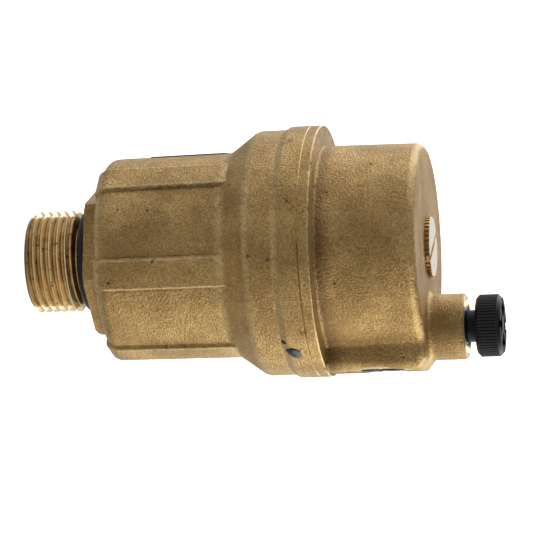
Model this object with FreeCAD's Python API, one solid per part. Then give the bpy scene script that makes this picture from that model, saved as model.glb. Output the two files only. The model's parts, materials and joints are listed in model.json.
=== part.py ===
import FreeCAD, Part
import math
import os

# Automatic air vent for a heating system, in millimetres.
# +Z is up and runs along the float chamber; Z = 0 is the free end of the inlet thread.
# +X is the side that carries the valve port and the vent cap.

V = FreeCAD.Vector
UP = V(0, 0, 1)

# Inlet: a G 3/8 thread above which an O-ring sits under the spanner hexagon.
THREAD_R = 8.331
THREAD_PITCH = 1.337
THREAD_DEPTH = 0.856
THREAD_TOP_Z = 8.05
RELIEF_R = 6.4
INLET_BORE_R = 5.3
SEAT_Z = 10.7
HEX_ACROSS_FLATS = 22.0
SHOULDER_Z = SEAT_Z + 2.6

# Lower body: a slightly tapered barrel with ribs, a cone and the flange.
BARREL_ROUND = 2.0
BARREL_FOOT_R = 16.45
BARREL_FOOT_Z = SHOULDER_Z + BARREL_ROUND
BARREL_TOP_Z = 34.2
DRAFT = math.radians(0.63)
CONE_TOP_Z = 38.85
BAND_R = 20.0
BAND_TOP_Z = 43.3
FLANGE_R = 20.5
FLANGE_FOOT_Z = 44.2
JOINT_Z = 47.6
FLANGE_EDGE_ROUND = 0.3
CHAMBER_R = 14.4
CHAMBER_FLOOR_Z = 15.0

RIB_COUNT = 6
RIB_HEIGHT = 0.42
RIB_HALF_WIDTH = 2.5
RIB_EDGE_ROUND = 0.3
FIRST_RIB_DEG = -17.0
FIRST_HEX_CORNER_DEG = -11.5

LABEL_THICKNESS = 0.12
LABEL_FOOT_Z = 20.7
LABEL_TOP_Z = 33.2
LABEL_START_DEG = 173.5
LABEL_SWEEP_DEG = 18.0

# Cover: a cup screwed into the body, with its own flange.
SPIGOT_R = 17.4
SPIGOT_FOOT_Z = 38.2
COVER_SEAL_BORE_R = 18.9
COVER_SEAL_FLOOR_Z = 46.0
COVER_INNER_R = 14.8
COVER_FLANGE_TOP_Z = 49.37
COVER_FOOT_R = 17.1
COVER_EDGE_R = 16.9
COVER_FACE_Z = 65.65
COVER_ROOF_Z = 63.4
COVER_ROOF_ROUND = 1.8
COVER_CORNER_ROUND = 1.4

# Side port with the valve, along X at this height.
VALVE_Z = 57.55
PAD_X = 19.9
PAD_HALF_WIDTH = 7.0
PAD_SLOPE_Z = 64.2
SPOTFACE_R = 6.65
SPOTFACE_X = PAD_X - 0.2
PORT_R = 3.5
PORT_FLOOR_X = 16.4
VALVE_BORE_R = 2.5
BLOCK_X = 8.3
BLOCK_HALF_WIDTH = 5.0
BLOCK_FOOT_Z = 53.4
VALVE_SEAT_X = 11.2

# Vent boss and its screwed plastic cap.
BOSS_X = 13.1
BOSS_R = 5.35
BOSS_TOP_Z = 71.6
CAP_PITCH = 1.0
CAP_THREAD_R = 2.95
CAP_THREAD_DEPTH = 0.6
CAP_CREST_WIDTH = 0.12
CAP_FLANK = math.tan(math.radians(30))
THREAD_PLAY = 0.09
BOSS_THREAD_R = 3.04
BOSS_THREAD_BORE_R = 2.5
AIR_WAY_R = 1.6
BOSS_THREAD_FOOT_Z = 62.5
BOSS_THREAD_TOP_Z = 68.7
BOSS_SEAL_BORE_R = 3.2
BOSS_GROOVE_Z = BOSS_THREAD_FOOT_Z + 0.6
CAP_SEAL_INNER_R = 1.9
CAP_SEAL_FOOT_Z = 70.35
CAP_SEAL_TOP_Z = 71.85
CAP_NECK_R = 2.6
CAP_FOOT_Z = BOSS_THREAD_FOOT_Z + 2.3
CAP_HEAD_R = 5.05
CAP_HEAD_FOOT_Z = 73.3
CAP_KNURL_TOP_Z = 76.8
CAP_TOP_Z = 77.4
CAP_KNURL_DEPTH = 0.16
CAP_KNURL_TEETH = 60

# Float, its wire hook and the bell-crank lever that moves the valve stem.
# The parts stand as they hang with no water inside: float down, valve open.
FLOAT_R = 12.4
FLOAT_FOOT_Z = 20.5
FLOAT_LID_Z = 48.6
FLOAT_TOP_Z = 50.6
FLOAT_WALL = 0.8
PIVOT_X = 6.6
PIVOT_Z = VALVE_Z + 3.0
LEVER_SWING_DEG = 17.3
LEVER_HALF_WIDTH = 1.0
EYE_DROP = 2.95
TIP_R = 0.9
HOOK_WIRE_R = 0.4
STEM_GAP = 0.05
BRACKET_SHEET = 0.6
EAR_INNER_Y = LEVER_HALF_WIDTH + 0.3
LEVER_PIN_R = 0.6

# Valve, along X from the pressed seat to the side plug.
ORIFICE_R = 0.95
STEM_R = 0.9
STEM_TAIL_R = 0.7
SEAL_R = 1.9
SEAL_THICKNESS = 1.2
SEAL_CLEARANCE = 0.02
STEM_HEAD_THICKNESS = 0.7
PLUG_SEAL_THICKNESS = 0.8
PLUG_PROUD = 0.15
SPRING_WIRE_R = 0.18
SPRING_COIL_R = 1.5
SPRING_TURNS = 4

# Slotted screw in the middle of the cover.
SCREW_HEAD_R = 5.0
SCREW_HEAD_TOP_Z = COVER_FACE_Z + 0.75
SCREW_R = 2.5
SCREW_SLOT_DEG = -61.0
SCREW_SEAL_BORE_R = 3.9
SCREW_TOOTH_DEPTH = 0.25
SCREW_TEETH = 40


def cylinder(radius, foot, top, x=0.0):
    return Part.makeCylinder(radius, top - foot, V(x, 0, foot))


def rod_along_x(radius, start, end, z=VALVE_Z):
    return Part.makeCylinder(radius, end - start, V(start, 0, z), V(1, 0, 0))


def rod_along_y(radius, start, end, z):
    """A rod along Y at the lever's pivot or straight under it."""
    return Part.makeCylinder(radius, end - start, V(PIVOT_X, start, z), V(0, 1, 0))


def box(x, y, z):
    """A block between two values on each axis."""
    return Part.makeBox(x[1] - x[0], y[1] - y[0], z[1] - z[0], V(x[0], y[0], z[0]))


def outline_face(points):
    """A flat face square to Y from an outline of (x, z) points.

    A point with a third item is reached by an arc through that (x, z).
    """
    edges = []
    for before, point in zip(points, points[1:] + points[:1]):
        start = V(before[0], 0, before[1])
        end = V(point[0], 0, point[1])
        if len(point) == 3:
            edges.append(Part.Arc(start, V(point[2][0], 0, point[2][1]), end).toShape())
        else:
            edges.append(Part.LineSegment(start, end).toShape())
    return Part.Face(Part.Wire(edges))


def turned(points, start_deg=0.0, sweep_deg=360.0):
    """A solid turned about Z from an outline of (radius, height) points."""
    solid = outline_face(points).revolve(V(0, 0, 0), UP, sweep_deg)
    solid.rotate(V(0, 0, 0), UP, start_deg)
    return solid


def o_ring(mean_r, section_r, z, x=0.0):
    return Part.makeTorus(mean_r, section_r, V(x, 0, z), UP)


def plate_xz(points, half_width):
    """A plate of even thickness across Y from an outline of (x, z) points."""
    face = outline_face(points)
    face.translate(V(0, -half_width, 0))
    return face.extrude(V(0, 2 * half_width, 0))


def rims(shape, radius, z):
    """The round edges of this radius at this height, about the main axis."""
    found = []
    for edge in shape.Edges:
        b = edge.BoundBox
        level = abs(b.ZMin - z) < 0.001 and abs(b.ZMax - z) < 0.001
        if level and abs(b.XMax - radius) < 0.001 and abs(b.YMax - radius) < 0.001:
            found.append(edge)
    return found


def rounded(shape, size, places):
    """The shape with its rims at the (radius, height) places rounded."""
    edges = []
    for radius, z in places:
        edges += rims(shape, radius, z)
    return shape.makeFillet(size, edges)


def helical_groove(pitch, length, root, mouth, foot):
    """A cutter for a thread; root and mouth are (radius, width) of the groove."""
    path = Part.Wire(Part.makeHelix(pitch, length, mouth[0]).Edges)
    corners = [
        V(root[0], 0, -root[1] / 2),
        V(root[0], 0, root[1] / 2),
        V(mouth[0], 0, mouth[1] / 2),
        V(mouth[0], 0, -mouth[1] / 2),
    ]
    section = Part.makePolygon(corners + corners[:1])
    cutter = path.makePipeShell([section], True, True)
    cutter.translate(V(0, 0, foot))
    return cutter


def toothed_disc(radius, depth, teeth, foot, top):
    """A disc with shallow straight teeth round its rim."""
    step = 2 * math.pi / teeth
    corners = []
    for i in range(teeth):
        for turn, r in ((0.0, radius - depth), (0.3, radius), (0.7, radius)):
            a = (i + turn) * step
            corners.append(V(r * math.cos(a), r * math.sin(a), foot))
    face = Part.Face(Part.makePolygon(corners + corners[:1]))
    return face.extrude(V(0, 0, top - foot))


def round_wire(points, wire_r, bend_r):
    """A bent round wire through the points, with an arc at each corner."""
    edges = []
    start = points[0]
    for before, corner, after in zip(points, points[1:], points[2:]):
        back = (before - corner).normalize()
        ahead = (after - corner).normalize()
        half = back.getAngle(ahead) / 2
        reach = bend_r / math.tan(half)
        into = corner + back * reach
        out = corner + ahead * reach
        middle = (back + ahead).normalize()
        on_arc = corner + middle * (bend_r / math.sin(half) - bend_r)
        edges.append(Part.LineSegment(start, into).toShape())
        edges.append(Part.Arc(into, on_arc, out).toShape())
        start = out
    edges.append(Part.LineSegment(start, points[-1]).toShape())
    path = Part.Wire(edges)
    ring = Part.Wire(Part.makeCircle(wire_r, points[0], points[1] - points[0]))
    return path.makePipeShell([ring], True, True)


def lever_turned(shape):
    """The lever from the middle of its swing to its resting place, valve open."""
    turned_shape = shape.copy()
    turned_shape.rotate(V(PIVOT_X, 0, PIVOT_Z), V(0, 1, 0), -LEVER_SWING_DEG / 2)
    return turned_shape


def stem_rest_x():
    """Where the stem's end stands at rest, just clear of the lever's round tip."""
    swing = math.radians(LEVER_SWING_DEG / 2)
    return PIVOT_X + (PIVOT_Z - VALVE_Z) * math.sin(swing) + TIP_R + STEM_GAP


def stem_travel():
    return 2 * (PIVOT_Z - VALVE_Z) * math.sin(math.radians(LEVER_SWING_DEG / 2))


def barrel_r(z, grow=0.0):
    """Radius of the tapered barrel between its ribs at a height, grown by this much."""
    return BARREL_FOOT_R + grow + (z - BARREL_FOOT_Z) * math.tan(DRAFT)


def barrel_outline(top_z, grow=0.0):
    """The barrel's rounded foot and tapered side, grown outward all along."""
    arc_r = BARREL_ROUND + grow
    centre_r = BARREL_FOOT_R - BARREL_ROUND

    def on_arc(angle):
        return centre_r + arc_r * math.cos(angle), BARREL_FOOT_Z - arc_r * math.sin(angle)

    foot_angle = math.asin(BARREL_ROUND / arc_r)
    return [
        on_arc(foot_angle),
        on_arc(DRAFT) + (on_arc((foot_angle + DRAFT) / 2),),
        (barrel_r(top_z, grow), top_z),
    ]


def rib(index):
    """A low rib with a flat crest that follows the barrel from its foot into the cone."""
    top = BARREL_TOP_Z + 1.6
    depth = 1.5
    outline = barrel_outline(top, RIB_HEIGHT)
    outline += [
        (BARREL_FOOT_R - depth, top), (BARREL_FOOT_R - depth, BARREL_FOOT_Z - depth),
        (outline[0][0] - depth, SHOULDER_Z),
    ]
    strip = plate_xz(outline, RIB_HALF_WIDTH)
    crest = []
    for edge in strip.Edges:
        middle = edge.valueAt((edge.FirstParameter + edge.LastParameter) / 2)
        if middle.x > BARREL_FOOT_R - 0.5 and edge.BoundBox.ZLength > 1:
            crest.append(edge)
    strip = strip.makeFillet(RIB_EDGE_ROUND, crest)
    strip.rotate(V(0, 0, 0), UP, FIRST_RIB_DEG + index * 360.0 / RIB_COUNT)
    return strip


def spanner_hexagon():
    corner_r = HEX_ACROSS_FLATS / math.sqrt(3)
    corners = []
    for i in range(6):
        a = math.radians(FIRST_HEX_CORNER_DEG + 60 * i)
        corners.append(V(corner_r * math.cos(a), corner_r * math.sin(a), SEAT_Z))
    face = Part.Face(Part.makePolygon(corners + corners[:1]))
    prism = face.extrude(V(0, 0, SHOULDER_Z + 1.0 - SEAT_Z))
    # The underside is chamfered at the corners, as a turned face leaves it.
    cone = Part.makeCone(corner_r - 0.55, corner_r + 1.45, 3.0, V(0, 0, SEAT_Z))
    return prism.common(cone)


def inlet_thread():
    """The threaded stub with a chamfered end and a relief for the O-ring."""
    envelope = turned([
        (0, 0), (THREAD_R - 0.9, 0), (THREAD_R, 0.8), (THREAD_R, THREAD_TOP_Z - 0.3),
        (RELIEF_R, THREAD_TOP_Z + 0.3), (RELIEF_R, SEAT_Z + 0.5), (0, SEAT_Z + 0.5),
    ])
    root = (THREAD_R - THREAD_DEPTH, 0.28)
    over = 0.3
    flank = math.tan(math.radians(27.5))
    mouth = (THREAD_R + over, root[1] + 2 * (THREAD_DEPTH + over) * flank)
    cutter = helical_groove(THREAD_PITCH, 8.5 * THREAD_PITCH, root, mouth, -THREAD_PITCH)
    return cylinder(THREAD_R, -0.3, SEAT_Z + 1).cut(cutter).common(envelope)


def lower_body():
    outline = [(0, SHOULDER_Z)] + barrel_outline(BARREL_TOP_Z)
    outline += [
        (BAND_R, CONE_TOP_Z), (BAND_R, BAND_TOP_Z), (FLANGE_R, FLANGE_FOOT_Z),
        (FLANGE_R, JOINT_Z), (0, JOINT_Z),
    ]
    casting = turned(outline)
    casting = rounded(casting, 2.0, [(barrel_r(BARREL_TOP_Z), BARREL_TOP_Z), (BAND_R, CONE_TOP_Z)])
    casting = rounded(casting, 0.6, [(BAND_R, BAND_TOP_Z), (FLANGE_R, FLANGE_FOOT_Z)])
    casting = rounded(casting, FLANGE_EDGE_ROUND, [(FLANGE_R, JOINT_Z)])
    ribs = [rib(i) for i in range(RIB_COUNT)]
    casting = casting.multiFuse(ribs + [spanner_hexagon(), inlet_thread()])
    hollow = turned([
        (0, CHAMBER_FLOOR_Z), (CHAMBER_R - 2.4, CHAMBER_FLOOR_Z),
        (CHAMBER_R - 0.6, CHAMBER_FLOOR_Z + 0.9), (CHAMBER_R, CHAMBER_FLOOR_Z + 3.0),
        (CHAMBER_R, SPIGOT_FOOT_Z - 2.0), (SPIGOT_R, SPIGOT_FOOT_Z - 0.6),
        (SPIGOT_R, COVER_SEAL_FLOOR_Z), (COVER_SEAL_BORE_R, COVER_SEAL_FLOOR_Z),
        (COVER_SEAL_BORE_R, JOINT_Z), (0, JOINT_Z),
    ])
    return casting.cut(hollow).cut(cylinder(INLET_BORE_R, -1, CHAMBER_FLOOR_Z + 1)).removeSplitter()


def inlet_o_ring():
    section = 0.97
    return o_ring(RELIEF_R + section, section, SEAT_Z - section)


def cover_o_ring():
    section = (COVER_SEAL_BORE_R - SPIGOT_R) / 2
    return o_ring(SPIGOT_R + section, section - 0.01, JOINT_Z - section)


def side_pad():
    """The block that carries the side port, sloped off under the boss."""
    slope_x = BOSS_X + BOSS_R - 0.25
    foot = COVER_FLANGE_TOP_Z - 0.4
    pad = plate_xz([
        (BOSS_X, foot), (PAD_X, foot), (PAD_X, PAD_SLOPE_Z), (slope_x, COVER_FACE_Z),
        (BOSS_X, COVER_FACE_Z),
    ], PAD_HALF_WIDTH)
    boxes = [(e, e.BoundBox) for e in pad.Edges]
    corners = [e for e, b in boxes if b.XMin > slope_x - 0.01 and b.YLength < 0.001]
    return pad.makeFillet(1.5, corners)


def cover_casting():
    """The cup with its flange, side pad and vent boss, not yet machined."""
    casting = turned([
        (0, JOINT_Z), (FLANGE_R, JOINT_Z), (FLANGE_R, COVER_FLANGE_TOP_Z),
        (COVER_FOOT_R, COVER_FLANGE_TOP_Z), (COVER_EDGE_R, COVER_FACE_Z), (0, COVER_FACE_Z),
    ])
    casting = rounded(casting, FLANGE_EDGE_ROUND, [(FLANGE_R, COVER_FLANGE_TOP_Z)])
    casting = casting.fuse(side_pad()).removeSplitter()
    edges = [(e, e.BoundBox) for e in casting.Edges]
    face_rim = [e for e, b in edges if b.ZMin > COVER_FACE_Z - 0.01]
    pad_foot = [e for e, b in edges if b.YLength < 0.01 and b.ZLength > 10 and b.XMax < PAD_X - 3
                and abs(abs(b.YMax) - PAD_HALF_WIDTH) < 0.01]
    casting = casting.makeFillet(COVER_CORNER_ROUND, face_rim + pad_foot)
    boss = cylinder(BOSS_R, COVER_ROOF_Z - 3, BOSS_TOP_Z, BOSS_X)
    top_rim = [e for e in boss.Edges if e.BoundBox.ZMin > BOSS_TOP_Z - 0.001]
    casting = casting.fuse(boss.makeChamfer(0.35, top_rim)).removeSplitter()
    return casting.makeFillet(0.8, boss_foot(casting))


def boss_foot(casting):
    """The edges where the boss meets the rest of the cover."""
    found = []
    for edge in casting.Edges:
        on_boss = [abs(math.hypot(v.X - BOSS_X, v.Y) - BOSS_R) < 0.01 for v in edge.Vertexes]
        b = edge.BoundBox
        if all(on_boss) and b.ZMin > COVER_ROOF_Z and b.ZMax < COVER_FACE_Z + 1:
            found.append(edge)
    return found


def cover():
    on_arc = COVER_ROOF_ROUND * (1 - math.sqrt(0.5))
    hollow = turned([
        (0, SPIGOT_FOOT_Z), (COVER_INNER_R, SPIGOT_FOOT_Z),
        (COVER_INNER_R, COVER_ROOF_Z - COVER_ROOF_ROUND),
        (COVER_INNER_R - COVER_ROOF_ROUND, COVER_ROOF_Z,
         (COVER_INNER_R - on_arc, COVER_ROOF_Z - on_arc)),
        (0, COVER_ROOF_Z),
    ])
    block = box((BLOCK_X, COVER_INNER_R + 1), (-BLOCK_HALF_WIDTH, BLOCK_HALF_WIDTH),
                (BLOCK_FOOT_Z, COVER_ROOF_Z + 1))
    casting = cover_casting().cut(boss_bore()).cut(boss_thread_groove())
    casting = casting.fuse(cylinder(SPIGOT_R, SPIGOT_FOOT_Z, JOINT_Z))
    casting = casting.cut(hollow.cut(block))
    for radius, start, end in (
        (SPOTFACE_R, SPOTFACE_X, PAD_X + 1),
        (PORT_R, PORT_FLOOR_X, PAD_X),
        (VALVE_BORE_R, BLOCK_X + 0.6, PORT_FLOOR_X + 1),
        (VALVE_BORE_R - 0.5, BLOCK_X - 1, BLOCK_X + 1),
    ):
        casting = casting.cut(rod_along_x(radius, start, end))
    casting = casting.cut(cylinder(SCREW_R + 0.15, COVER_ROOF_Z - 1, COVER_FACE_Z + 1))
    casting = casting.cut(cylinder(SCREW_SEAL_BORE_R, COVER_FACE_Z - 1.1, COVER_FACE_Z + 1))
    return casting.cut(boss_lead_in())


def boss_bore():
    """Countersink, seal bore, tapping bore and the drilling down to the valve."""
    mouth_r = BOSS_R - 0.85
    bore = turned([
        (0, VALVE_Z), (AIR_WAY_R, VALVE_Z), (AIR_WAY_R, BOSS_THREAD_FOOT_Z - 0.5),
        (BOSS_THREAD_BORE_R, BOSS_THREAD_FOOT_Z), (BOSS_THREAD_BORE_R, BOSS_THREAD_TOP_Z),
        (BOSS_SEAL_BORE_R, BOSS_THREAD_TOP_Z), (BOSS_SEAL_BORE_R, BOSS_TOP_Z - 1.3),
        (mouth_r, BOSS_TOP_Z), (mouth_r, BOSS_TOP_Z + 1), (0, BOSS_TOP_Z + 1),
    ])
    bore.translate(V(BOSS_X, 0, 0))
    return bore


def boss_thread_groove():
    """The female thread, a little wider than the cap's ridge and in step with it."""
    over = 0.2
    root = (BOSS_THREAD_R, CAP_CREST_WIDTH + 2 * THREAD_PLAY)
    rise = BOSS_THREAD_R - BOSS_THREAD_BORE_R + over
    mouth = (BOSS_THREAD_BORE_R - over, root[1] + 2 * rise * CAP_FLANK)
    groove = helical_groove(CAP_PITCH, 5 * CAP_PITCH, root, mouth, BOSS_GROOVE_Z)
    groove.translate(V(BOSS_X, 0, 0))
    return groove


def boss_lead_in():
    """The cone at the top of the thread, where the groove comes out."""
    foot = BOSS_THREAD_TOP_Z - 1.15
    foot_r = BOSS_THREAD_BORE_R - 0.05
    rise = BOSS_SEAL_BORE_R - foot_r
    cone = turned([
        (0, foot), (foot_r, foot), (BOSS_SEAL_BORE_R, foot + rise),
        (BOSS_SEAL_BORE_R, BOSS_THREAD_TOP_Z + 0.05), (0, BOSS_THREAD_TOP_Z + 0.05),
    ])
    cone.translate(V(BOSS_X, 0, 0))
    return cone


def cap_stem():
    """The threaded stem of the cap, with an air slot along it and a seal groove."""
    foot = CAP_FOOT_Z
    over = 0.15
    ridge_at_root = CAP_CREST_WIDTH + 2 * CAP_THREAD_DEPTH * CAP_FLANK
    root = (CAP_THREAD_R - CAP_THREAD_DEPTH, CAP_PITCH - ridge_at_root)
    mouth = (CAP_THREAD_R + over, root[1] + 2 * (CAP_THREAD_DEPTH + over) * CAP_FLANK)
    groove = helical_groove(CAP_PITCH, 7 * CAP_PITCH, root, mouth, BOSS_GROOVE_Z + CAP_PITCH / 2)
    thread = cylinder(CAP_THREAD_R, foot - 0.4, CAP_SEAL_FOOT_Z + 0.3).cut(groove)
    thread = thread.common(turned([
        (0, foot), (CAP_THREAD_R - 0.7, foot), (CAP_THREAD_R, foot + 0.6),
        (CAP_THREAD_R, CAP_SEAL_FOOT_Z), (0, CAP_SEAL_FOOT_Z),
    ]))
    thread = thread.cut(box((-0.6, 0.6), (1.7, 4.0), (foot - 1, CAP_SEAL_FOOT_Z + 1)))
    neck = turned([
        (0, CAP_SEAL_FOOT_Z), (CAP_SEAL_INNER_R, CAP_SEAL_FOOT_Z),
        (CAP_SEAL_INNER_R, CAP_SEAL_TOP_Z), (CAP_NECK_R, CAP_SEAL_TOP_Z),
        (CAP_NECK_R, CAP_HEAD_FOOT_Z + 0.5), (0, CAP_HEAD_FOOT_Z + 0.5),
    ])
    return thread.fuse(neck)


def vent_cap():
    knurl = toothed_disc(CAP_HEAD_R, CAP_KNURL_DEPTH, CAP_KNURL_TEETH, CAP_HEAD_FOOT_Z, CAP_TOP_Z)
    blank = turned([
        (0, CAP_HEAD_FOOT_Z), (CAP_HEAD_R - 0.5, CAP_HEAD_FOOT_Z), (CAP_HEAD_R, CAP_HEAD_FOOT_Z + 0.5),
        (CAP_HEAD_R, CAP_KNURL_TOP_Z), (CAP_HEAD_R - 0.6, CAP_TOP_Z), (0, CAP_TOP_Z),
    ])
    head = knurl.common(blank)
    floor = CAP_TOP_Z - 1.5
    above = CAP_TOP_Z + 0.6
    dish = turned([(1.3, floor), (3.5, floor), (3.7, above), (1.3, above)])
    for i in range(4):
        spoke = box((0, 3.8), (-0.4, 0.4), (floor, above))
        spoke.rotate(V(0, 0, 0), UP, 45 + 90 * i)
        dish = dish.cut(spoke)
    for i in range(4):
        notch = box((3.3, 4.6), (-0.55, 0.55), (CAP_TOP_Z - 0.7, above))
        notch.rotate(V(0, 0, 0), UP, 90 * i)
        dish = dish.fuse(notch)
    cap = head.cut(dish).fuse(cap_stem()).removeSplitter()
    cap.translate(V(BOSS_X, 0, 0))
    return cap


def cap_o_ring():
    section = 0.62
    return o_ring(CAP_SEAL_INNER_R + section, section, (CAP_SEAL_FOOT_Z + CAP_SEAL_TOP_Z) / 2, BOSS_X)


def float_shell():
    """The open cup of the hollow float."""
    cup = cylinder(FLOAT_R, FLOAT_FOOT_Z, FLOAT_LID_Z)
    cup = cup.makeFillet(2.0, rims(cup, FLOAT_R, FLOAT_FOOT_Z))
    inner_r = FLOAT_R - FLOAT_WALL
    inner = cylinder(inner_r, FLOAT_FOOT_Z + FLOAT_WALL, FLOAT_LID_Z + 1)
    inner = inner.makeFillet(1.2, rims(inner, inner_r, FLOAT_FOOT_Z + FLOAT_WALL))
    return cup.cut(inner)


def float_lid():
    """The welded lid, with a plug inside the cup's rim and a post for the hook."""
    lid = turned([
        (0, FLOAT_LID_Z), (FLOAT_R, FLOAT_LID_Z), (FLOAT_R, FLOAT_TOP_Z - 1.0),
        (FLOAT_R - 1.0, FLOAT_TOP_Z), (2.4, FLOAT_TOP_Z), (2.0, FLOAT_TOP_Z + 1.8),
        (0, FLOAT_TOP_Z + 1.8),
    ])
    plug = cylinder(FLOAT_R - FLOAT_WALL - 0.02, FLOAT_LID_Z - 2.0, FLOAT_LID_Z + 0.2)
    plug = plug.cut(cylinder(FLOAT_R - 2 * FLOAT_WALL, FLOAT_LID_Z - 2.5, FLOAT_LID_Z + 0.2))
    return lid.fuse(plug).cut(cylinder(HOOK_WIRE_R, FLOAT_TOP_Z, FLOAT_TOP_Z + 3)).removeSplitter()


def hook_height():
    """Height of the hook's cross bar, at the lowest place the lever's eye lets it hang."""
    swing = math.radians(LEVER_SWING_DEG / 2)
    eye_x = PIVOT_X - PIVOT_X * math.cos(swing) + EYE_DROP * math.sin(swing)
    eye_z = PIVOT_Z - PIVOT_X * math.sin(swing) - EYE_DROP * math.cos(swing)
    return eye_z - eye_x * math.tan(swing)


def float_hook():
    side = LEVER_HALF_WIDTH + HOOK_WIRE_R + 0.2
    bar = hook_height()
    post = FLOAT_TOP_Z + 1.8
    points = [
        V(0, 0, FLOAT_TOP_Z), V(0, 0, post + 0.9), V(0, side, post + 2.1), V(0, side, bar),
        V(0, -side, bar), V(0, -side, bar - 2.2),
    ]
    return round_wire(points, HOOK_WIRE_R, 0.55)


def lever():
    """Bell crank: an eye that the float pulls, and a tip that moves the stem."""
    eye_z = PIVOT_Z - EYE_DROP
    hub = rod_along_y(1.5, -LEVER_HALF_WIDTH, LEVER_HALF_WIDTH, PIVOT_Z)
    tip = rod_along_y(TIP_R, -LEVER_HALF_WIDTH, LEVER_HALF_WIDTH, VALVE_Z)
    leg = plate_xz([
        (PIVOT_X - TIP_R, VALVE_Z), (PIVOT_X + 0.2, VALVE_Z), (PIVOT_X + 0.6, PIVOT_Z),
        (PIVOT_X - 1.2, PIVOT_Z),
    ], LEVER_HALF_WIDTH)
    arm = plate_xz([
        (0, eye_z - 0.8), (PIVOT_X, VALVE_Z - 0.85), (PIVOT_X, VALVE_Z + 1.1), (0, eye_z + 0.8),
    ], LEVER_HALF_WIDTH)
    eye = plate_xz([
        (-1.7, eye_z - 1.3), (1.7, eye_z - 1.3), (2.1, eye_z - 0.9), (2.1, eye_z + 0.9),
        (1.7, eye_z + 1.3), (-1.7, eye_z + 1.3), (-2.1, eye_z + 0.9), (-2.1, eye_z - 0.9),
    ], LEVER_HALF_WIDTH)
    slot = plate_xz([
        (-1.05, eye_z - 0.55), (1.05, eye_z - 0.55), (1.05, eye_z + 0.55), (-1.05, eye_z + 0.55),
    ], 2 * LEVER_HALF_WIDTH)
    pin_hole = rod_along_y(LEVER_PIN_R + 0.05, -3, 3, PIVOT_Z)
    blank = hub.multiFuse([tip, leg, arm, eye]).cut(slot).cut(pin_hole)
    return lever_turned(blank.removeSplitter())


def lever_pin():
    """Hinge pin with a small head, held by the bracket's ears."""
    outer = EAR_INNER_Y + BRACKET_SHEET
    pin = rod_along_y(LEVER_PIN_R, -outer - 0.5, outer, PIVOT_Z)
    return pin.fuse(rod_along_y(1.0, outer, outer + 0.4, PIVOT_Z))


def lever_bracket():
    """Folded sheet: a plate under the roof and two ears for the hinge pin."""
    plate_foot = COVER_ROOF_Z - BRACKET_SHEET
    half = EAR_INNER_Y + BRACKET_SHEET
    bracket = box((-4.2, 8.1), (-half, half), (plate_foot, COVER_ROOF_Z))
    bracket = bracket.fuse(cylinder(4.2, plate_foot, COVER_ROOF_Z))
    for side in (-1, 1):
        ear = plate_xz([
            (PIVOT_X - 1.5, COVER_ROOF_Z), (PIVOT_X - 1.5, PIVOT_Z), (PIVOT_X - 0.8, PIVOT_Z - 1.3),
            (PIVOT_X + 0.8, PIVOT_Z - 1.3), (PIVOT_X + 1.5, PIVOT_Z), (PIVOT_X + 1.5, COVER_ROOF_Z),
        ], BRACKET_SHEET / 2)
        ear.translate(V(0, side * (EAR_INNER_Y + BRACKET_SHEET / 2), 0))
        bracket = bracket.fuse(ear)
    bracket = bracket.cut(cylinder(SCREW_R + 0.05, 60, 64))
    return bracket.cut(rod_along_y(LEVER_PIN_R, -4, 4, PIVOT_Z)).removeSplitter()


def bracket_nut():
    corners = []
    for i in range(6):
        a = math.radians(30 + 60 * i)
        corners.append(V(4.6 * math.cos(a), 4.6 * math.sin(a), PIVOT_Z + 0.25))
    face = Part.Face(Part.makePolygon(corners + corners[:1]))
    nut = face.extrude(V(0, 0, COVER_ROOF_Z - BRACKET_SHEET - PIVOT_Z - 0.25))
    return nut.cut(cylinder(SCREW_R, 59, 64))


def centre_screw():
    """Slotted screw whose toothed head stands on the cover."""
    head = toothed_disc(SCREW_HEAD_R, SCREW_TOOTH_DEPTH, SCREW_TEETH, COVER_FACE_Z, SCREW_HEAD_TOP_Z)
    head_blank = turned([
        (0, COVER_FACE_Z), (SCREW_HEAD_R, COVER_FACE_Z), (SCREW_HEAD_R, SCREW_HEAD_TOP_Z - 0.15),
        (SCREW_HEAD_R - 0.15, SCREW_HEAD_TOP_Z), (0, SCREW_HEAD_TOP_Z),
    ])
    head = head.common(head_blank)
    shank = cylinder(SCREW_R, PIVOT_Z + 0.1, COVER_FACE_Z + 0.1)
    slot = box((-6, 6), (-0.5, 0.5), (SCREW_HEAD_TOP_Z - 0.55, SCREW_HEAD_TOP_Z + 1))
    slot.rotate(V(0, 0, 0), UP, SCREW_SLOT_DEG)
    return head.fuse(shank).cut(slot).removeSplitter()


def centre_screw_o_ring():
    section = 0.53
    return o_ring(SCREW_R + 0.1 + section, section, COVER_FACE_Z - section - 0.02)


def valve_seat():
    """Brass bush pressed into the port, with the orifice and a raised lip."""
    bush = rod_along_x(VALVE_BORE_R, BLOCK_X + 0.6, VALVE_SEAT_X - 0.3)
    bush = bush.fuse(rod_along_x(VALVE_BORE_R - 0.55, BLOCK_X, BLOCK_X + 1))
    bush = bush.fuse(rod_along_x(1.5, VALVE_SEAT_X - 0.5, VALVE_SEAT_X))
    return bush.cut(rod_along_x(ORIFICE_R, BLOCK_X - 1, VALVE_SEAT_X + 1)).removeSplitter()


def seal_foot_x():
    """The valve seal's face at rest, lifted off the seat by the stem's travel."""
    return VALVE_SEAT_X + stem_travel() + SEAL_CLEARANCE


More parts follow.
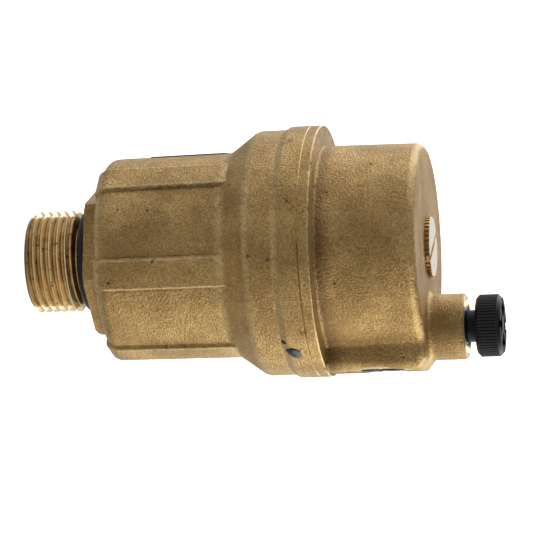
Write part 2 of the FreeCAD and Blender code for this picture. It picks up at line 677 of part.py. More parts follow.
def valve_stem():
    """Fluted stem through the orifice, with a head behind the seal and a guide tail."""
    seal = seal_foot_x()
    head = seal + SEAL_THICKNESS
    stem = rod_along_x(STEM_R, stem_rest_x(), seal)
    for turn in (90, 210, 330):
        flat = box((stem_rest_x() - 1, seal - 0.6), (-1, 1), (VALVE_Z + 0.5, VALVE_Z + 2))
        flat.rotate(V(0, 0, VALVE_Z), V(1, 0, 0), turn)
        stem = stem.cut(flat)
    stem = stem.fuse(rod_along_x(STEM_TAIL_R, seal - 0.1, head))
    stem = stem.fuse(rod_along_x(SEAL_R, head, head + STEM_HEAD_THICKNESS))
    return stem.fuse(rod_along_x(STEM_TAIL_R, head + 0.6, head + 3.8)).removeSplitter()


def valve_seal():
    seal = rod_along_x(SEAL_R, seal_foot_x(), seal_foot_x() + SEAL_THICKNESS)
    return seal.cut(rod_along_x(STEM_TAIL_R, seal_foot_x() - 1, seal_foot_x() + 2))


def valve_spring():
    """Compression spring between the stem's head and the plug, along X."""
    room = SPRING_WIRE_R + SEAL_CLEARANCE
    start = seal_foot_x() + SEAL_THICKNESS + STEM_HEAD_THICKNESS + room
    end = PORT_FLOOR_X + PLUG_SEAL_THICKNESS - room
    helix = Part.makeHelix((end - start) / SPRING_TURNS, end - start, SPRING_COIL_R)
    ring = Part.Wire(Part.makeCircle(SPRING_WIRE_R, V(SPRING_COIL_R, 0, 0), V(0, 1, 0)))
    spring = Part.Wire(helix.Edges).makePipeShell([ring], True, True)
    spring.rotate(V(0, 0, 0), V(0, 1, 0), 90)
    spring.translate(V(start, 0, VALVE_Z))
    return spring


def side_plug_seal():
    ring = rod_along_x(PORT_R - 0.1, PORT_FLOOR_X, PORT_FLOOR_X + PLUG_SEAL_THICKNESS)
    return ring.cut(rod_along_x(VALVE_BORE_R, PORT_FLOOR_X - 1, PORT_FLOOR_X + 2))


def side_plug():
    """Screw plug that closes the port and guides the stem's tail."""
    foot = PORT_FLOOR_X + PLUG_SEAL_THICKNESS
    top = SPOTFACE_X + PLUG_PROUD
    plug = rod_along_x(PORT_R, foot, top)
    plug = plug.cut(rod_along_x(STEM_TAIL_R + 0.05, foot - 1, foot + 1.35))
    slot = box((top - 0.7, top + 1), (-4, 4), (VALVE_Z - 0.45, VALVE_Z + 0.45))
    return plug.cut(slot)


def label_plate():
    """Thin blank plate that follows the taper of the barrel between two ribs."""
    thick = LABEL_THICKNESS
    foot = LABEL_FOOT_Z
    top = LABEL_TOP_Z
    outline = [
        (barrel_r(foot), foot), (barrel_r(foot, thick), foot), (barrel_r(top, thick), top),
        (barrel_r(top), top),
    ]
    return turned(outline, LABEL_START_DEG, LABEL_SWEEP_DEG)


PIECES = {
    "lower_body": lower_body,
    "inlet_o_ring": inlet_o_ring,
    "cover": cover,
    "cover_o_ring": cover_o_ring,
    "float_shell": float_shell,
    "float_lid": float_lid,
    "float_hook": float_hook,
    "lever": lever,
    "lever_pin": lever_pin,
    "lever_bracket": lever_bracket,
    "bracket_nut": bracket_nut,
    "centre_screw": centre_screw,
    "centre_screw_o_ring": centre_screw_o_ring,
    "valve_seat": valve_seat,
    "valve_stem": valve_stem,
    "valve_seal": valve_seal,
    "valve_spring": valve_spring,
    "side_plug_seal": side_plug_seal,
    "side_plug": side_plug,
    "cap_o_ring": cap_o_ring,
    "vent_cap": vent_cap,
    "label_plate": label_plate,
}

os.makedirs("parts", exist_ok=True)
for name, make in PIECES.items():
    shape = make()
    shape.exportStep("parts/" + name + ".step")
    print(name, shape.isValid(), len(shape.Solids), round(shape.Volume, 3))
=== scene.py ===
import json
import math

import bmesh
import bpy
from mathutils import Matrix, Vector


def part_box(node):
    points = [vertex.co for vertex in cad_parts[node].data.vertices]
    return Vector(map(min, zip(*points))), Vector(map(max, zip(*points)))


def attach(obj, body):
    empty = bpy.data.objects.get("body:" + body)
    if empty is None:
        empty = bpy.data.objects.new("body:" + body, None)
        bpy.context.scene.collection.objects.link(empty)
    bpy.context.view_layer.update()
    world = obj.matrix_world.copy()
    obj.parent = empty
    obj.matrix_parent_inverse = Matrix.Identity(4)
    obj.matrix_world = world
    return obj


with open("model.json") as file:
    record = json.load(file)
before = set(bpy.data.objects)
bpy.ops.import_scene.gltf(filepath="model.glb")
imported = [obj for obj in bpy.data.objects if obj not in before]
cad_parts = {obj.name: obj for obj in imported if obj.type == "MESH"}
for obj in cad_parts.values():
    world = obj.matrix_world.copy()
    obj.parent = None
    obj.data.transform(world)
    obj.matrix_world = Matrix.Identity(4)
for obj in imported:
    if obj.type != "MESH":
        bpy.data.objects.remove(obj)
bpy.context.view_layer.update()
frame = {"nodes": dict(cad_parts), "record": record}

# ---- Sizes, in metres -------------------------------------------------------------------------

MM = 0.001
BODY_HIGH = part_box("lower_body")[1]
COVER_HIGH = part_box("cover")[1]
CAP_LOW, CAP_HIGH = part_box("vent_cap")
SEAL_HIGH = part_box("inlet_o_ring")[1]
SCREW_LOW, SCREW_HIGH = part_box("centre_screw")
PLUG_LOW, PLUG_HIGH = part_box("side_plug")

JOINT_Z = BODY_HIGH.z                      # where the cover's flange meets the body's
CAP_X = (CAP_LOW.x + CAP_HIGH.x) / 2       # the vent boss stands on this axis
CAP_R = (CAP_HIGH.x - CAP_LOW.x) / 2
PORT_Z = (PLUG_LOW.z + PLUG_HIGH.z) / 2    # the side port's axis is level with this
THREAD_R = 8.331 * MM
BODY_R = 20.5 * MM                         # the flange
BAND_R = 20.0 * MM                         # the band under it
THREAD_TOP_Z = SEAL_HIGH.z                 # turned below, cast above
SPOTFACE_R = 6.65 * MM
SPOTFACE_X = 19.7 * MM
SCREW_R = (SCREW_HIGH.x - SCREW_LOW.x) / 2

# Lines of the casting, in millimetres as the shaders use them.
RIB_EDGE = 2.38                            # half a rib's width, to the middle of its edge
RIB_DEG = -17.0                            # one rib's angle; the others follow every 60 degrees
SHOULDER_Z = 13.3
BARREL_FOOT_Z = 15.3
CONE_FOOT_Z = 34.2
BAND_FOOT_Z = 38.85
FLANGE_FOOT_Z = 44.2
FLANGE_TOP_Z = 49.37
FACE_Z = 65.65
BOSS_R = 5.35

# ---- Camera and stage -------------------------------------------------------------------------

CAMERA_LENS = 247.9                        # mm on a 36 mm sensor: a long lens
CAMERA_DISTANCE = 600 * MM
CAMERA_AZIMUTH = 4.0                       # degrees, 0 looks along +Y
CAMERA_ELEVATION = 10.2
CAMERA_ROLL = 2.27                         # the vent's axis rises this much to the right
CAMERA_AIM_Z = 38.9 * MM
CAMERA_AIM_DOWN = 2.14 * MM                # the axis runs this far above the picture's middle
FLOOR_HALF = 3.0
FLOOR_TONE = 0.60                          # what the floor throws back onto the vent
FLOOR_GLOW = 0.92                          # added only where the camera sees the floor itself
FLOOR_ROUGH = 0.9
WORLD_LEVEL = 0.15                         # the sky's brightness as the vent mirrors it
SKY_COLOUR = (1.0, 0.97, 0.93)

# Each light: its name, place, size, brightness in a mirror, and colour.
LIGHTS = (
    ("low_soft", (2.0, 0.7, 0.4), (5.0, 3.4), 3.0, (0.95, 1.0, 0.94)),
    ("top_soft", (-2.0, 0.9, 0.5), (4.4, 3.4), 2.8, (0.88, 0.96, 1.0)),
    ("end_soft", (0.0, -0.3, 2.2), (2.4, 2.4), 0.16, (1.0, 1.0, 1.0)),
    ("back_soft", (0.0, 2.6, 1.3), (3.0, 2.2), 0.62, (1.0, 1.0, 1.0)),
)


# ---- Node helpers -----------------------------------------------------------------------------

class Shader:
    """Builds the node tree of one material. Lengths are in millimetres."""

    def __init__(self, name):
        self.material = bpy.data.materials.new(name)
        self.material.use_nodes = True
        self.nodes = self.material.node_tree.nodes
        self.links = self.material.node_tree.links
        self.bsdf = self.nodes["Principled BSDF"]
        self.place = self.nodes.new("ShaderNodeTexCoord").outputs["Object"]
        self.draws = 0

    def put(self, socket, value):
        if isinstance(value, bpy.types.NodeSocket):
            self.links.new(value, socket)
        elif isinstance(value, (tuple, list)) and len(value) == 3 and socket.type == "RGBA":
            socket.default_value = (*value, 1)
        else:
            socket.default_value = value

    def math(self, operation, a, b=0.0, clamp=False):
        node = self.nodes.new("ShaderNodeMath")
        node.operation = operation
        node.use_clamp = clamp
        self.put(node.inputs[0], a)
        self.put(node.inputs[1], b)
        return node.outputs[0]

    def add(self, a, b):
        return self.math("ADD", a, b)

    def times(self, a, b):
        return self.math("MULTIPLY", a, b)

    def most(self, a, b):
        return self.math("MAXIMUM", a, b)

    def least(self, a, b):
        return self.math("MINIMUM", a, b)

    def fade(self, value, start, end, low=0.0, high=1.0):
        """Goes smoothly from low to high as value goes from start to end."""
        node = self.nodes.new("ShaderNodeMapRange")
        node.interpolation_type = "SMOOTHSTEP"
        self.put(node.inputs["Value"], value)
        self.put(node.inputs["From Min"], start)
        self.put(node.inputs["From Max"], end)
        self.put(node.inputs["To Min"], low)
        self.put(node.inputs["To Max"], high)
        return node.outputs["Result"]

    def between(self, value, low, high, soft):
        """A mask that is 1 from low to high and fades over soft outside them."""
        rise = self.fade(value, low - soft, low)
        fall = self.fade(value, high, high + soft, 1.0, 0.0)
        return self.least(rise, fall)

    def axis(self, name):
        """The object's own x, y or z, in millimetres."""
        node = self.nodes.new("ShaderNodeSeparateXYZ")
        self.put(node.inputs[0], self.place)
        return self.times(node.outputs[name], 1 / MM)

    def radius(self, x=0.0, y=0.0, axes="XY"):
        """Distance in millimetres from the line at (x, y) that is square to both axes."""
        across = self.add(self.axis(axes[0]), -x)
        along = self.add(self.axis(axes[1]), -y)
        square = self.add(self.times(across, across), self.times(along, along))
        return self.math("SQRT", square)

    def noise(self, size, detail=3.0, rough=0.55, stretch=(1, 1, 1)):
        """Soft noise whose lumps are about size millimetres across."""
        self.draws += 1
        spread = self.nodes.new("ShaderNodeMapping")
        self.put(spread.inputs["Vector"], self.place)
        self.put(spread.inputs["Location"], (0.37 * self.draws, 0.11 * self.draws, 0.23 * self.draws))
        self.put(spread.inputs["Scale"], stretch)
        node = self.nodes.new("ShaderNodeTexNoise")
        self.put(node.inputs["Vector"], spread.outputs[0])
        self.put(node.inputs["Scale"], 1 / (size * MM))
        self.put(node.inputs["Detail"], detail)
        self.put(node.inputs["Roughness"], rough)
        return node.outputs["Fac"]

    def cells(self, size):
        """Distance to the nearest of scattered points about size millimetres apart."""
        node = self.nodes.new("ShaderNodeTexVoronoi")
        self.put(node.inputs["Vector"], self.place)
        self.put(node.inputs["Scale"], 1 / (size * MM))
        return node.outputs["Distance"]

    def mix(self, amount, a, b):
        """Colour a where amount is 0 and colour b where it is 1."""
        node = self.nodes.new("ShaderNodeMix")
        node.data_type = "RGBA"
        self.put(node.inputs["Factor"], amount)
        self.put(node.inputs["A"], a)
        self.put(node.inputs["B"], b)
        return node.outputs["Result"]

    def blend(self, amount, a, b):
        """Number a where amount is 0 and number b where it is 1."""
        return self.add(self.times(self.math("SUBTRACT", 1.0, amount), a), self.times(amount, b))

    def line(self, value, at, half, soft):
        """A mask that is 1 within half of a value."""
        return self.between(value, at - half, at + half, soft)

    def off_rib(self):
        """Distance in millimetres from the middle line of the nearest rib."""
        turn = self.math("ARCTAN2", self.axis("Y"), self.axis("X"))
        turn = self.add(turn, math.radians(-RIB_DEG + 30 + 360))
        turn = self.math("MODULO", turn, math.radians(60))
        turn = self.add(turn, math.radians(-30))
        return self.times(self.radius(), self.math("ABSOLUTE", self.math("SINE", turn)))

    def bump(self, height, depth, onto=None):
        """Raises the surface by height times depth millimetres."""
        node = self.nodes.new("ShaderNodeBump")
        self.put(node.inputs["Height"], height)
        self.put(node.inputs["Distance"], depth * MM)
        if onto is not None:
            self.put(node.inputs["Normal"], onto)
        return node.outputs["Normal"]

    def finish(self, colour, rough, normal, metallic):
        self.put(self.bsdf.inputs["Base Color"], colour)
        self.put(self.bsdf.inputs["Roughness"], rough)
        if normal is not None:
            self.put(self.bsdf.inputs["Normal"], normal)
        self.put(self.bsdf.inputs["Metallic"], metallic)
        return self.material


# ---- Materials --------------------------------------------------------------------------------

BRASS = (0.62, 0.388, 0.155)
BRASS_DULL = (0.42, 0.250, 0.092)
# Colour of the painted highlights: the pale lines along edges, and the sparkle in the grain.
BRASS_HIGHLIGHT = (0.86, 0.67, 0.38)
# Near-black brown for the grain's dark specks, pits and stains, and for painted shade.
BRASS_STAIN_AND_SHADE = (0.085, 0.055, 0.032)
BRASS_TURNED = (0.94, 0.74, 0.43)
BRASS_BRIGHT = (0.96, 0.91, 0.80)
# Colour of the painted shade in the thread's roots and in the vent boss's bore.
BRASS_RECESS_SHADE = (0.46, 0.26, 0.09)
CAST_METALLIC = 0.88                       # a little under 1, for the dull skin on the casting
CAST_GRAIN_DEPTH = 0.22                    # millimetres
TURNED_RING_DEPTH = 0.008


def cast_brass(name, turned, painted_highlights, stain_and_shade, recess_shade):
    """Hot-pressed brass, blasted to a fine grain, with turned faces where the mask says.

    The four mask functions each take the shader and give a mask, in order: faces cut by a lathe,
    painted highlights along edges, real stains together with painted shade, and painted shade deep in a
    cut.
    """
    s = Shader(name)
    cut = turned(s)
    clouds = s.noise(7.0, 4.0)
    patches = s.noise(1.6, 3.0)
    grain = s.noise(0.33, 2.0, 0.7)
    sparkle = s.fade(s.noise(0.5, 1.0, 0.8), 0.64, 0.74)
    pits = s.fade(s.cells(4.4), 0.035, 0.075, 1.0, 0.0)
    # Painted highlights along the edges, broken up by noise; the same mask makes these lines smoother.
    edge_highlight = s.times(painted_highlights(s), s.fade(s.noise(0.9, 4.0, 0.75), 0.32, 0.62, 0.15, 1.0))
    colour = s.mix(s.fade(clouds, 0.36, 0.66), BRASS_DULL, BRASS)
    colour = s.mix(s.fade(patches, 0.35, 0.75, 0.0, 0.45), colour, BRASS_DULL)
    colour = s.mix(s.fade(grain, 0.62, 0.36, 0.0, 0.5), colour, BRASS_STAIN_AND_SHADE)
    colour = s.mix(s.times(sparkle, 0.25), colour, BRASS_HIGHLIGHT)
    colour = s.mix(s.times(edge_highlight, 0.6), colour, BRASS_HIGHLIGHT)
    colour = s.mix(s.times(pits, 0.85), colour, BRASS_STAIN_AND_SHADE)
    rings = s.noise(0.12, 2.0, 0.6, (0.02, 0.02, 1.0))
    bright = s.mix(s.fade(rings, 0.3, 0.8, 0.0, 0.35), BRASS_TURNED, BRASS)
    # Painted shade in recesses, only on turned faces.
    bright = s.mix(recess_shade(s), bright, BRASS_RECESS_SHADE)
    colour = s.mix(cut, colour, bright)
    # Real smears and stains, and painted shade in corners, in near-black brown.
    colour = s.mix(s.times(stain_and_shade(s), 0.9), colour, BRASS_STAIN_AND_SHADE)
    cast_rough = s.blend(edge_highlight, s.fade(grain, 0.2, 0.9, 0.40, 0.58), 0.30)
    rough = s.blend(cut, cast_rough, s.fade(rings, 0.2, 0.9, 0.12, 0.26))
    still = s.math("SUBTRACT", 1.0, cut)
    height = s.add(s.times(grain, 0.9), s.add(s.times(patches, 0.5), s.times(pits, -0.7)))
    normal = s.bump(s.times(height, still), CAST_GRAIN_DEPTH)
    normal = s.bump(s.times(rings, cut), TURNED_RING_DEPTH, normal)
    return s.finish(colour, rough, normal, CAST_METALLIC)


def body_turned(s):
    """The inlet thread and its undercut, and the lip that meets the cover."""
    thread = s.between(s.axis("Z"), -1.0, THREAD_TOP_Z / MM - 0.05, 0.1)
    near = s.fade(s.radius(), THREAD_R / MM + 0.2, THREAD_R / MM + 0.5, 1.0, 0.0)
    lip = s.fade(s.axis("Z"), JOINT_Z / MM - 0.2, JOINT_Z / MM - 0.12)
    return s.most(s.times(thread, near), lip)


def body_painted_highlights(s):
    """Painted highlights on both edges of every rib, the rim of the shoulder, and the steps below the
    flange.
    """
    height = s.axis("Z")
    beside = s.line(s.off_rib(), RIB_EDGE, 0.08, 0.28)
    beside = s.times(beside, s.between(height, SHOULDER_Z + 0.5, CONE_FOOT_Z, 0.8))
    rim = s.line(height, SHOULDER_Z + 0.55, 0.2, 0.6)
    cone_foot = s.line(height, CONE_FOOT_Z, 0.1, 1.2)
    band_foot = s.line(height, BAND_FOOT_Z, 0.1, 0.8)
    flange_foot = s.line(height, FLANGE_FOOT_Z - 0.6, 0.2, 0.6)
    steps = s.most(s.times(cone_foot, 0.45), s.most(s.times(band_foot, 0.45), s.times(flange_foot, 0.5)))
    return s.most(s.times(s.most(beside, rim), 0.7), steps)


def body_recess_shade(s):
    """Painted shade in the root of the inlet thread, patchy with noise."""
    deep = s.fade(s.radius(), THREAD_R / MM - 0.8, THREAD_R / MM - 0.35, 1.0, 0.0)
    return s.times(deep, s.fade(s.noise(2.0, 3.0), 0.3, 0.7, 0.55, 1.0))


def cover_recess_shade(s):
    """Painted shade on the inside of the vent boss."""
    return s.fade(s.radius(CAP_X / MM, 0.0), 3.6, 4.2, 0.8, 0.0)


def body_stain_and_shade(s):
    """Painted shade along the foot of each rib, real smears below the joint and flecks in the thread."""
    level = s.between(s.axis("Z"), JOINT_Z / MM - 3.2, JOINT_Z / MM, 1.0)
    smears = s.fade(s.noise(2.4, 4.0, 0.65), 0.58, 0.70, 0.0, 0.9)
    # Painted shade in the corner beside each rib, patchy with noise.
    beside = s.line(s.off_rib(), RIB_EDGE + 0.42, 0.05, 0.16)
    beside = s.times(beside, s.between(s.axis("Z"), BARREL_FOOT_Z, CONE_FOOT_Z, 0.3))
    rib_foot_shade_patches = s.fade(s.noise(1.8, 2.0), 0.35, 0.6, 0.1, 0.55)
    inlet = s.fade(s.axis("Z"), THREAD_TOP_Z / MM - 2.0, THREAD_TOP_Z / MM - 1.6, 1.0, 0.0)
    flecks = s.times(inlet, s.fade(s.noise(0.9, 2.0), 0.63, 0.70, 0.0, 0.8))
    return s.most(s.most(s.times(level, smears), s.times(beside, rib_foot_shade_patches)), flecks)


def cover_turned(s):
    """The joint's edge, the side port's spotface and the mouth of the vent boss."""
    edge = s.fade(s.axis("Z"), JOINT_Z / MM, JOINT_Z / MM + 0.06, 1.0, 0.0)
    out = s.fade(s.axis("X"), SPOTFACE_X / MM - 0.35, SPOTFACE_X / MM - 0.15)
    ring = s.fade(s.radius(0.0, PORT_Z / MM, "YZ"), SPOTFACE_R / MM, SPOTFACE_R / MM + 0.1, 1.0, 0.0)
    high = s.fade(s.axis("Z"), COVER_HIGH.z / MM - 0.12, COVER_HIGH.z / MM - 0.05)
    mouth = s.fade(s.radius(CAP_X / MM, 0.0), 4.6, 4.7, 1.0, 0.0)
    deep = s.fade(s.axis("Z"), COVER_HIGH.z / MM - 4.0, COVER_HIGH.z / MM - 3.9)
    boss = s.most(high, s.times(mouth, deep))
    return s.most(edge, s.most(s.times(out, ring), boss))


def cover_painted_highlights(s):
    """Painted highlights on the upper edge of the flange, the foot of the cup and the rim of its face.
    """
    height = s.axis("Z")
    flange = s.line(height, FLANGE_TOP_Z - 0.15, 0.08, 0.2)
    foot = s.line(height, FLANGE_TOP_Z + 0.35, 0.08, 0.3)
    foot = s.times(foot, s.fade(s.radius(), 17.6, 17.9, 1.0, 0.0))
    face_rim = s.line(height, FACE_Z - 0.75, 0.25, 0.5)
    return s.most(s.times(s.most(flange, foot), 0.55), s.times(face_rim, 0.2))


def cover_stain_and_shade(s):
    """Real smears just above the joint; painted shade on the step behind the flange's edge and fading up
    the foot of the cup; the vent boss a little darker from just above the face.
    """
    height = s.axis("Z")
    level = s.between(height, JOINT_Z / MM + 0.8, JOINT_Z / MM + 3.0, 0.8)
    smears = s.fade(s.noise(2.6, 3.0), 0.62, 0.70)
    # Painted shade where the flange's top meets the cup, and up the cup's foot.
    step = s.line(height, FLANGE_TOP_Z, 0.03, 0.05)
    step = s.times(step, s.fade(s.radius(), 20.3, 20.1, 1.0, 0.0))
    above = s.fade(height, FLANGE_TOP_Z + 0.1, FLANGE_TOP_Z + 0.6)
    cup_foot = s.times(above, s.fade(height, FLANGE_TOP_Z + 0.5, FLANGE_TOP_Z + 3.0, 0.55, 0.0))
    boss = s.fade(s.radius(CAP_X / MM, 0.0), BOSS_R + 0.3, BOSS_R + 1.2, 1.0, 0.0)
    boss = s.times(boss, s.fade(height, FACE_Z + 0.2, FACE_Z + 1.2, 0.0, 0.24))
    return s.most(s.most(s.times(level, smears), s.times(step, 0.85)), s.most(cup_foot, boss))


def turned_brass(name):
    """Brass cut on a lathe: fine rings, little tarnish."""
    s = Shader(name)
    rings = s.noise(0.10, 2.0, 0.6, (0.03, 0.03, 1.0))
    marks = s.noise(1.2, 4.0, 0.7)
    colour = s.mix(s.fade(rings, 0.3, 0.8, 0.0, 0.4), BRASS_TURNED, BRASS)
    colour = s.mix(s.fade(marks, 0.55, 0.8, 0.0, 0.4), colour, BRASS_DULL)
    rough = s.fade(marks, 0.3, 0.8, 0.17, 0.34)
    normal = s.bump(rings, 0.006)
    return s.finish(colour, rough, normal, 1.0)


def screw_brass(name):
    """The centre screw: a bright faced top, a tarnished toothed side and a dark slot."""
    s = Shader(name)
    top = SCREW_HIGH.z / MM
    rings = s.noise(0.14, 2.0, 0.6)
    marks = s.noise(0.9, 4.0, 0.7)
    faced = s.fade(s.axis("Z"), top - 0.12, top - 0.06)
    rim = s.fade(s.radius(), SCREW_R / MM - 0.3, SCREW_R / MM - 0.16)
    aged = s.mix(s.fade(marks, 0.3, 0.7), BRASS_DULL, BRASS)
    bright = s.mix(s.fade(marks, 0.45, 0.8, 0.0, 0.5), BRASS_BRIGHT, BRASS_TURNED)
    colour = s.mix(s.times(faced, s.math("SUBTRACT", 1.0, rim)), aged, bright)
    rough = s.blend(faced, 0.45, s.fade(marks, 0.3, 0.8, 0.26, 0.42))
    normal = s.bump(rings, 0.01)
    return s.finish(colour, rough, normal, 1.0)


def lock_paint(name):
    """Thick glossy paint daubed over the joint."""
    s = Shader(name)
    swirl = s.noise(0.8, 3.0)
    grit = s.noise(0.2, 2.0)
    colour = s.mix(s.fade(swirl, 0.35, 0.7), (0.006, 0.007, 0.014), (0.020, 0.022, 0.040))
    rough = s.fade(grit, 0.3, 0.7, 0.20, 0.36)
    normal = s.bump(s.add(swirl, s.times(grit, 0.2)), 0.05)
    return s.finish(colour, rough, normal, 0.0)


def black_rubber(name):
    s = Shader(name)
    dust = s.noise(0.5, 3.0)
    film = s.noise(2.5, 3.0)
    colour = s.mix(s.fade(dust, 0.45, 0.8, 0.0, 0.5), (0.008, 0.008, 0.013), (0.024, 0.023, 0.031))
    rough = s.fade(film, 0.3, 0.7, 0.26, 0.46)
    normal = s.bump(dust, 0.012)
    s.put(s.bsdf.inputs["Specular IOR Level"], 0.3)
    return s.finish(colour, rough, normal, 0.0)


def black_plastic(name):
    s = Shader(name)
    skin = s.noise(0.22, 2.0)
    wear = s.noise(1.5, 3.0)
    colour = s.mix(s.fade(wear, 0.4, 0.7, 0.0, 0.6), (0.0065, 0.0065, 0.0075), (0.016, 0.016, 0.018))
    # A painted highlight on the cap's outermost edge.
    rim = s.line(s.radius(CAP_X / MM, 0.0), CAP_R / MM, 0.05, 0.1)
    colour = s.mix(s.times(rim, 0.35), colour, (0.05, 0.05, 0.053))
    rough = s.fade(skin, 0.3, 0.7, 0.34, 0.50)
    normal = s.bump(skin, 0.012)
    s.put(s.bsdf.inputs["Specular IOR Level"], 0.2)
    return s.finish(colour, rough, normal, 0.0)


def float_plastic(name):
    s = Shader(name)
    skin = s.noise(0.35, 2.0)
    clouds = s.noise(5.0, 3.0)
    colour = s.mix(s.fade(clouds, 0.3, 0.7), (0.62, 0.60, 0.54), (0.74, 0.73, 0.68))
    rough = s.fade(skin, 0.3, 0.7, 0.32, 0.46)
    normal = s.bump(skin, 0.01)
    return s.finish(colour, rough, normal, 0.0)


def stainless_wire(name):
    s = Shader(name)
    drawn = s.noise(0.15, 2.0)
    smudge = s.noise(1.5, 3.0)
    colour = s.mix(s.fade(smudge, 0.3, 0.7), (0.46, 0.46, 0.47), (0.62, 0.61, 0.60))
    rough = s.fade(drawn, 0.3, 0.7, 0.2, 0.36)
    normal = s.bump(drawn, 0.006)
    return s.finish(colour, rough, normal, 1.0)


def dark_label(name):
    """A blank, dark film, scuffed and slightly creased."""
    s = Shader(name)
    print_grain = s.noise(0.5, 3.0)
    scuffs = s.fade(s.noise(1.1, 4.0, 0.7), 0.55, 0.8)
    colour = s.mix(s.fade(print_grain, 0.3, 0.7), (0.045, 0.038, 0.045), (0.095, 0.083, 0.090))
    colour = s.mix(s.times(scuffs, 0.35), colour, (0.24, 0.20, 0.19))
    rough = s.fade(print_grain, 0.3, 0.7, 0.38, 0.55)
    normal = s.bump(print_grain, 0.02)
    return s.finish(colour, rough, normal, 0.0)


def dress(node, material):
    """Gives a CAD node its finished material."""
    slots = frame["nodes"][node].data.materials
    slots.clear()
    slots.append(material)


MATERIALS = {
    "machined_brass": turned_brass("turned_brass"),
    "black_rubber": black_rubber("black_rubber"),
    "black_plastic": black_plastic("black_plastic"),
    "float_plastic": float_plastic("float_plastic"),
    "stainless_wire": stainless_wire("stainless_wire"),
    "dark_label": dark_label("dark_label"),
}
dress("lower_body", cast_brass("body_brass", body_turned, body_painted_highlights, body_stain_and_shade, body_recess_shade))
dress("cover", cast_brass("cover_brass", cover_turned, cover_painted_highlights, cover_stain_and_shade, cover_recess_shade))
for part in frame["record"]["subparts"]:
    if part["material_slot"] in MATERIALS:
        dress(part["node"], MATERIALS[part["material_slot"]])
dress("centre_screw", screw_brass("screw_brass"))


# ---- Lock paint on the flange -----------------------------------------------------------------

DAUB_THICK = 0.28 * MM
DAUB_LIFT = 0.03 * MM                      # keeps the thin edge clear of the flange's facets
DAUB_SHELL = 0.12 * MM
DAUB_RINGS = 10
DAUB_STEPS = 48


def flange_r(z):
    """Radius of the body's band and flange at this height, as the paint lies on it."""
    foot, top = (FLANGE_FOOT_Z - 0.9) * MM, FLANGE_FOOT_Z * MM
    share = min(max((z - foot) / (top - foot), 0.0), 1.0)
    return BAND_R + (BODY_R - BAND_R) * share


def daub_point(share, turn, place, size, lean):
    """A point of a lopsided blob, thick in the middle and drawn out to a thin edge."""
    ragged = 1 + 0.08 * math.sin(3 * turn + 0.6) + 0.05 * math.sin(5 * turn + 2.0)
    along = size[0] * share * ragged * math.cos(turn)
    across = size[1] * share * ragged * math.sin(turn)
    z = place[1] + along * math.cos(lean) - across * math.sin(lean)
    side = along * math.sin(lean) + across * math.cos(lean)
    swell = 1 + 0.25 * math.sin(2 * turn + 1.0) * share
    r = flange_r(z) + DAUB_THICK * (1 - share ** 3) * swell + DAUB_LIFT
    a = place[0] + side / r
    return (r * math.cos(a), r * math.sin(a), z)


def build_daub(name, place, size, lean, material):
    """Paint round (angle, height) on the flange; size is half its length and half its width."""
    shape = bmesh.new()
    middle = shape.verts.new(daub_point(0, 0, place, size, lean))
    turns = [2 * math.pi * step / DAUB_STEPS for step in range(DAUB_STEPS)]
    rings = []
    for ring in range(1, DAUB_RINGS + 1):
        share = ring / DAUB_RINGS
        rings.append([shape.verts.new(daub_point(share, turn, place, size, lean)) for turn in turns])
    for step in range(DAUB_STEPS):
        after = (step + 1) % DAUB_STEPS
        shape.faces.new((middle, rings[0][step], rings[0][after]))
        for inner, outer in zip(rings, rings[1:]):
            shape.faces.new((inner[step], outer[step], outer[after], inner[after]))
    bmesh.ops.recalc_face_normals(shape, faces=shape.faces)
    for face in shape.faces:
        face.smooth = True
    mesh = bpy.data.meshes.new(name)
    shape.to_mesh(mesh)
    shape.free()
    mesh.materials.append(material)
    daub = bpy.data.objects.new(name, mesh)
    bpy.context.scene.collection.objects.link(daub)
    shell = daub.modifiers.new("body", "SOLIDIFY")
    shell.thickness = DAUB_SHELL
    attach(daub, "housing")


paint = lock_paint("lock_paint")
build_daub("lock_paint_daub", (math.radians(-34.0), 45.0 * MM), (1.45 * MM, 1.0 * MM), 0.9, paint)
build_daub("lock_paint_spot", (math.radians(-41.0), 43.6 * MM), (0.42 * MM, 0.28 * MM), 0.3, paint)


# ---- Stage ------------------------------------------------------------------------------------

def seen_by_camera(tree):
    """1 for what the camera sees directly and 0 for what lights or is mirrored in the object."""
    return tree.nodes.new("ShaderNodeLightPath").outputs["Is Camera Ray"]


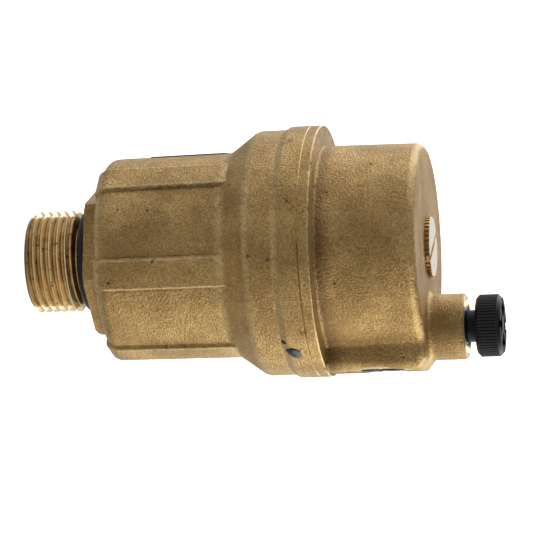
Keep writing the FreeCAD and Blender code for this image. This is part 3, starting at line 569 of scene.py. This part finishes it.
def build_floor():
    """A wide white floor, lit enough to look white and dull enough to leave the brass its dark side."""
    mesh = bpy.data.meshes.new("floor")
    corners = [(x * FLOOR_HALF, y * FLOOR_HALF, 0) for x, y in ((-1, -1), (1, -1), (1, 1), (-1, 1))]
    mesh.from_pydata(corners, [], [(0, 1, 2, 3)])
    floor = bpy.data.objects.new("floor", mesh)
    bpy.context.scene.collection.objects.link(floor)
    s = Shader("floor_white")
    tone = s.noise(400.0, 2.0)
    paint = s.mix(tone, (FLOOR_TONE,) * 3, (FLOOR_TONE + 0.02,) * 3)
    s.put(s.bsdf.inputs["Emission Color"], (1.0, 1.0, 1.0))
    s.put(s.bsdf.inputs["Emission Strength"], s.times(seen_by_camera(s.material.node_tree), FLOOR_GLOW))
    mesh.materials.append(s.finish(paint, FLOOR_ROUGH, None, 0.0))


def build_light(name, place, size, brightness, colour):
    """A soft box that faces the vent. Its brightness is what a mirror would show of it."""
    data = bpy.data.lights.new(name, "AREA")
    data.shape = "RECTANGLE"
    data.size, data.size_y = size
    data.energy = brightness * math.pi * size[0] * size[1]
    data.color = colour
    light = bpy.data.objects.new(name, data)
    light.location = place
    aim = Vector((0, 0, CAMERA_AIM_Z)) - Vector(place)
    light.rotation_euler = aim.to_track_quat("-Z", "Y").to_euler()
    light.visible_camera = False
    bpy.context.scene.collection.objects.link(light)


def build_world():
    world = bpy.data.worlds.new("studio")
    bpy.context.scene.world = world
    world.use_nodes = True
    tree = world.node_tree
    level = tree.nodes.new("ShaderNodeMapRange")
    tree.links.new(seen_by_camera(tree), level.inputs["Value"])
    level.inputs["To Min"].default_value = WORLD_LEVEL
    sky = tree.nodes["Background"]
    sky.inputs["Color"].default_value = (*SKY_COLOUR, 1.0)
    tree.links.new(level.outputs["Result"], sky.inputs["Strength"])


def build_camera():
    a, e, r = (math.radians(v) for v in (CAMERA_AZIMUTH, CAMERA_ELEVATION, CAMERA_ROLL))
    back = Vector((math.sin(a) * math.cos(e), -math.cos(a) * math.cos(e), math.sin(e)))
    along = (Vector((0, 0, 1)) - back * back.z).normalized()
    across = back.cross(along)
    right = along * math.cos(r) - across * math.sin(r)
    up = along * math.sin(r) + across * math.cos(r)
    data = bpy.data.cameras.new("camera")
    data.lens = CAMERA_LENS
    data.sensor_width = 36.0
    data.clip_start, data.clip_end = 0.05, 20.0
    camera = bpy.data.objects.new("camera", data)
    camera.location = Vector((0, 0, CAMERA_AIM_Z)) - up * CAMERA_AIM_DOWN + back * CAMERA_DISTANCE
    camera.rotation_mode = "QUATERNION"
    camera.rotation_quaternion = Matrix((right, up, back)).transposed().to_quaternion()
    bpy.context.scene.collection.objects.link(camera)
    bpy.context.scene.camera = camera


build_floor()
build_world()
for light in LIGHTS:
    build_light(*light)
build_camera()
bpy.context.scene.view_settings.view_transform = "Standard"
